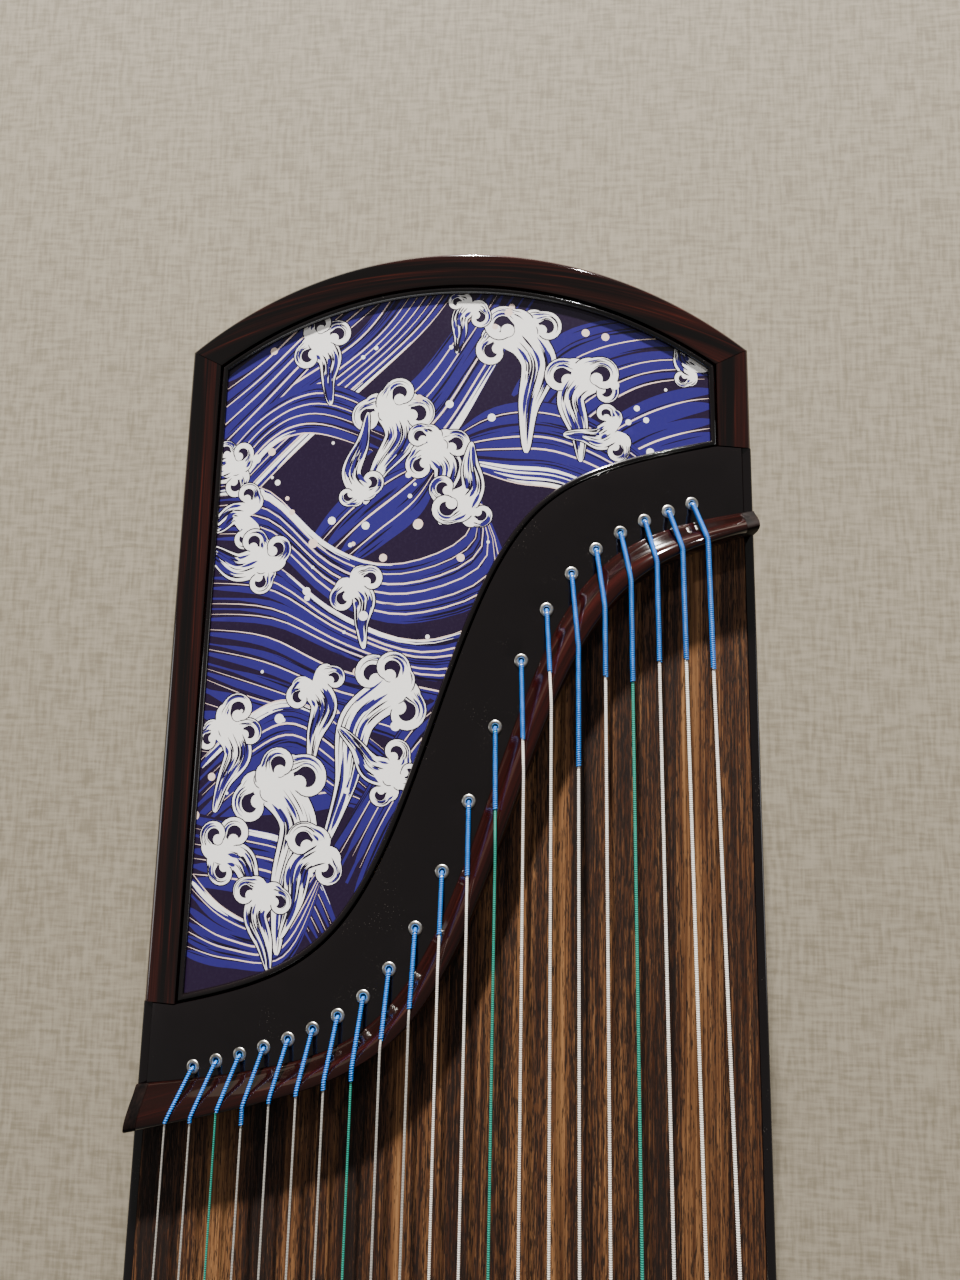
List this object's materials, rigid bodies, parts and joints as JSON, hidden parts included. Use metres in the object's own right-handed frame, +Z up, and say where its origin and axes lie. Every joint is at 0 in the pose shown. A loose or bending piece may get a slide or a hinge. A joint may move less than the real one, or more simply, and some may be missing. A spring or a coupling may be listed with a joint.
{
  "type": "guzheng",
  "caption": "Long zither with an arched wooden soundboard, an S-shaped tail bridge, movable A-shaped bridges, a string to each, and a lidded tuning box at the head.",
  "frame": {"origin": "on the ground, under the middle of the body", "axes": "+X along the instrument towards the head, +Y towards the thick strings, away from the player, +Z up"},
  "size_m": [1.63, 0.352, 0.1555],
  "materials": {
    "paulownia": "scorched, open grain, matt oil",
    "pine": "planed, unfinished",
    "black_lacquer": "black piano lacquer",
    "rosewood": "dark rosewood under gloss lacquer",
    "black_moulding": "satin black",
    "printed_panel": "printed picture of waves under clear lacquer",
    "red_rosewood": "red rosewood under gloss lacquer",
    "brass": "turned brass",
    "maple": "planed maple",
    "string": "steel core wound with nylon",
    "padauk": "polished padauk with a bone top",
    "nickel": "nickel plated"
  },
  "bodies": {
    "root": {"soundboard": "paulownia", "bottom_board": "pine", "side_board_near": "black_lacquer", "side_board_far": "black_lacquer", "brace_frame": "pine", "tail_foot": "rosewood", "head_foot": "rosewood", "tail_rim": "rosewood", "panel_bead": "black_moulding", "wave_panel": "printed_panel", "tail_board": "black_lacquer", "tail_bridge": "red_rosewood", "front_bridge": "red_rosewood", "head_end_board": "rosewood", "lid_hinge_pin": "brass", "pin_block": "maple", "strings": "string"},
    "lid": {"box_lid": "rosewood"},
    "bridge_01": {"bridge_01": "padauk"},
    "bridge_02": {"bridge_02": "padauk"},
    "bridge_03": {"bridge_03": "padauk"},
    "bridge_04": {"bridge_04": "padauk"},
    "bridge_05": {"bridge_05": "padauk"},
    "bridge_06": {"bridge_06": "padauk"},
    "bridge_07": {"bridge_07": "padauk"},
    "bridge_08": {"bridge_08": "padauk"},
    "bridge_09": {"bridge_09": "padauk"},
    "bridge_10": {"bridge_10": "padauk"},
    "bridge_11": {"bridge_11": "padauk"},
    "bridge_12": {"bridge_12": "padauk"},
    "bridge_13": {"bridge_13": "padauk"},
    "bridge_14": {"bridge_14": "padauk"},
    "bridge_15": {"bridge_15": "padauk"},
    "bridge_16": {"bridge_16": "padauk"},
    "bridge_17": {"bridge_17": "padauk"},
    "bridge_18": {"bridge_18": "padauk"},
    "bridge_19": {"bridge_19": "padauk"},
    "bridge_20": {"bridge_20": "padauk"},
    "bridge_21": {"bridge_21": "padauk"},
    "pin_01": {"pin_01": "nickel"},
    "pin_02": {"pin_02": "nickel"},
    "pin_03": {"pin_03": "nickel"},
    "pin_04": {"pin_04": "nickel"},
    "pin_05": {"pin_05": "nickel"},
    "pin_06": {"pin_06": "nickel"},
    "pin_07": {"pin_07": "nickel"},
    "pin_08": {"pin_08": "nickel"},
    "pin_09": {"pin_09": "nickel"},
    "pin_10": {"pin_10": "nickel"},
    "pin_11": {"pin_11": "nickel"},
    "pin_12": {"pin_12": "nickel"},
    "pin_13": {"pin_13": "nickel"},
    "pin_14": {"pin_14": "nickel"},
    "pin_15": {"pin_15": "nickel"},
    "pin_16": {"pin_16": "nickel"},
    "pin_17": {"pin_17": "nickel"},
    "pin_18": {"pin_18": "nickel"},
    "pin_19": {"pin_19": "nickel"},
    "pin_20": {"pin_20": "nickel"},
    "pin_21": {"pin_21": "nickel"}
  },
  "joints": [
    {"name": "lid_hinge", "type": "hinge", "parent": "root", "child": "lid", "pos_m": [0.811, 0, 0.076], "axis": [0, 1, 0], "range_deg": [0, 90]},
    {"name": "bridge_01_slide", "type": "slide", "parent": "root", "child": "bridge_01", "axis": [1, -0.0065, 0], "range_m": [-0.006, 0.006], "deforming": ["strings"]},
    {"name": "bridge_02_slide", "type": "slide", "parent": "root", "child": "bridge_02", "axis": [1, -0.0055, 0], "range_m": [-0.006, 0.006]},
    {"name": "bridge_03_slide", "type": "slide", "parent": "root", "child": "bridge_03", "axis": [1, -0.0046, 0], "range_m": [-0.007, 0.007]},
    {"name": "bridge_04_slide", "type": "slide", "parent": "root", "child": "bridge_04", "axis": [1, -0.0037, 0], "range_m": [-0.008, 0.008]},
    {"name": "bridge_05_slide", "type": "slide", "parent": "root", "child": "bridge_05", "axis": [1, -0.0027, 0], "range_m": [-0.008, 0.008]},
    {"name": "bridge_06_slide", "type": "slide", "parent": "root", "child": "bridge_06", "axis": [1, -0.0018, 0], "range_m": [-0.009, 0.009]},
    {"name": "bridge_07_slide", "type": "slide", "parent": "root", "child": "bridge_07", "axis": [1, -0.0008, 0], "range_m": [-0.01, 0.01]},
    {"name": "bridge_08_slide", "type": "slide", "parent": "root", "child": "bridge_08", "axis": [1, 0.0001, 0], "range_m": [-0.011, 0.011]},
    {"name": "bridge_09_slide", "type": "slide", "parent": "root", "child": "bridge_09", "axis": [1, 0.0011, 0], "range_m": [-0.011, 0.011]},
    {"name": "bridge_10_slide", "type": "slide", "parent": "root", "child": "bridge_10", "axis": [1, 0.002, 0], "range_m": [-0.012, 0.012]},
    {"name": "bridge_11_slide", "type": "slide", "parent": "root", "child": "bridge_11", "axis": [1, 0.003, 0], "range_m": [-0.013, 0.013]},
    {"name": "bridge_12_slide", "type": "slide", "parent": "root", "child": "bridge_12", "axis": [1, 0.004, 0], "range_m": [-0.013, 0.013]},
    {"name": "bridge_13_slide", "type": "slide", "parent": "root", "child": "bridge_13", "axis": [1, 0.0049, 0], "range_m": [-0.014, 0.014]},
    {"name": "bridge_14_slide", "type": "slide", "parent": "root", "child": "bridge_14", "axis": [1, 0.0058, 0], "range_m": [-0.015, 0.015]},
    {"name": "bridge_15_slide", "type": "slide", "parent": "root", "child": "bridge_15", "axis": [1, 0.0068, 0], "range_m": [-0.015, 0.015]},
    {"name": "bridge_16_slide", "type": "slide", "parent": "root", "child": "bridge_16", "axis": [1, 0.0077, 0], "range_m": [-0.016, 0.016]},
    {"name": "bridge_17_slide", "type": "slide", "parent": "root", "child": "bridge_17", "axis": [1, 0.0087, 0], "range_m": [-0.017, 0.017]},
    {"name": "bridge_18_slide", "type": "slide", "parent": "root", "child": "bridge_18", "axis": [1, 0.0097, 0], "range_m": [-0.018, 0.018]},
    {"name": "bridge_19_slide", "type": "slide", "parent": "root", "child": "bridge_19", "axis": [0.9999, 0.0106, 0], "range_m": [-0.018, 0.018]},
    {"name": "bridge_20_slide", "type": "slide", "parent": "root", "child": "bridge_20", "axis": [0.9999, 0.0115, 0], "range_m": [-0.019, 0.019]},
    {"name": "bridge_21_slide", "type": "slide", "parent": "root", "child": "bridge_21", "axis": [0.9999, 0.0125, 0], "range_m": [-0.02, 0.02]},
    {"name": "pin_01_turn", "type": "hinge", "parent": "root", "child": "pin_01", "pos_m": [0.727, -0.13245, 0.046], "axis": [0, 0, 1], "continuous": true},
    {"name": "pin_02_turn", "type": "hinge", "parent": "root", "child": "pin_02", "pos_m": [0.739, -0.11874, 0.046], "axis": [0, 0, 1], "continuous": true},
    {"name": "pin_03_turn", "type": "hinge", "parent": "root", "child": "pin_03", "pos_m": [0.751, -0.10501, 0.046], "axis": [0, 0, 1], "continuous": true},
    {"name": "pin_04_turn", "type": "hinge", "parent": "root", "child": "pin_04", "pos_m": [0.727, -0.09112, 0.046], "axis": [0, 0, 1], "continuous": true},
    {"name": "pin_05_turn", "type": "hinge", "parent": "root", "child": "pin_05", "pos_m": [0.739, -0.07738, 0.046], "axis": [0, 0, 1], "continuous": true},
    {"name": "pin_06_turn", "type": "hinge", "parent": "root", "child": "pin_06", "pos_m": [0.751, -0.06361, 0.046], "axis": [0, 0, 1], "continuous": true},
    {"name": "pin_07_turn", "type": "hinge", "parent": "root", "child": "pin_07", "pos_m": [0.727, -0.04979, 0.046], "axis": [0, 0, 1], "continuous": true},
    {"name": "pin_08_turn", "type": "hinge", "parent": "root", "child": "pin_08", "pos_m": [0.739, -0.03602, 0.046], "axis": [0, 0, 1], "continuous": true},
    {"name": "pin_09_turn", "type": "hinge", "parent": "root", "child": "pin_09", "pos_m": [0.751, -0.02221, 0.046], "axis": [0, 0, 1], "continuous": true},
    {"name": "pin_10_turn", "type": "hinge", "parent": "root", "child": "pin_10", "pos_m": [0.727, -0.00847, 0.046], "axis": [0, 0, 1], "continuous": true},
    {"name": "pin_11_turn", "type": "hinge", "parent": "root", "child": "pin_11", "pos_m": [0.739, 0.00535, 0.046], "axis": [0, 0, 1], "continuous": true},
    {"name": "pin_12_turn", "type": "hinge", "parent": "root", "child": "pin_12", "pos_m": [0.751, 0.01918, 0.046], "axis": [0, 0, 1], "continuous": true},
    {"name": "pin_13_turn", "type": "hinge", "parent": "root", "child": "pin_13", "pos_m": [0.727, 0.03286, 0.046], "axis": [0, 0, 1], "continuous": true},
    {"name": "pin_14_turn", "type": "hinge", "parent": "root", "child": "pin_14", "pos_m": [0.739, 0.04671, 0.046], "axis": [0, 0, 1], "continuous": true},
    {"name": "pin_15_turn", "type": "hinge", "parent": "root", "child": "pin_15", "pos_m": [0.751, 0.06058, 0.046], "axis": [0, 0, 1], "continuous": true},
    {"name": "pin_16_turn", "type": "hinge", "parent": "root", "child": "pin_16", "pos_m": [0.727, 0.07419, 0.046], "axis": [0, 0, 1], "continuous": true},
    {"name": "pin_17_turn", "type": "hinge", "parent": "root", "child": "pin_17", "pos_m": [0.739, 0.08807, 0.046], "axis": [0, 0, 1], "continuous": true},
    {"name": "pin_18_turn", "type": "hinge", "parent": "root", "child": "pin_18", "pos_m": [0.751, 0.10198, 0.046], "axis": [0, 0, 1], "continuous": true},
    {"name": "pin_19_turn", "type": "hinge", "parent": "root", "child": "pin_19", "pos_m": [0.727, 0.11552, 0.046], "axis": [0, 0, 1], "continuous": true},
    {"name": "pin_20_turn", "type": "hinge", "parent": "root", "child": "pin_20", "pos_m": [0.739, 0.12944, 0.046], "axis": [0, 0, 1], "continuous": true},
    {"name": "pin_21_turn", "type": "hinge", "parent": "root", "child": "pin_21", "pos_m": [0.751, 0.14338, 0.046], "axis": [0, 0, 1], "continuous": true}
  ]
}
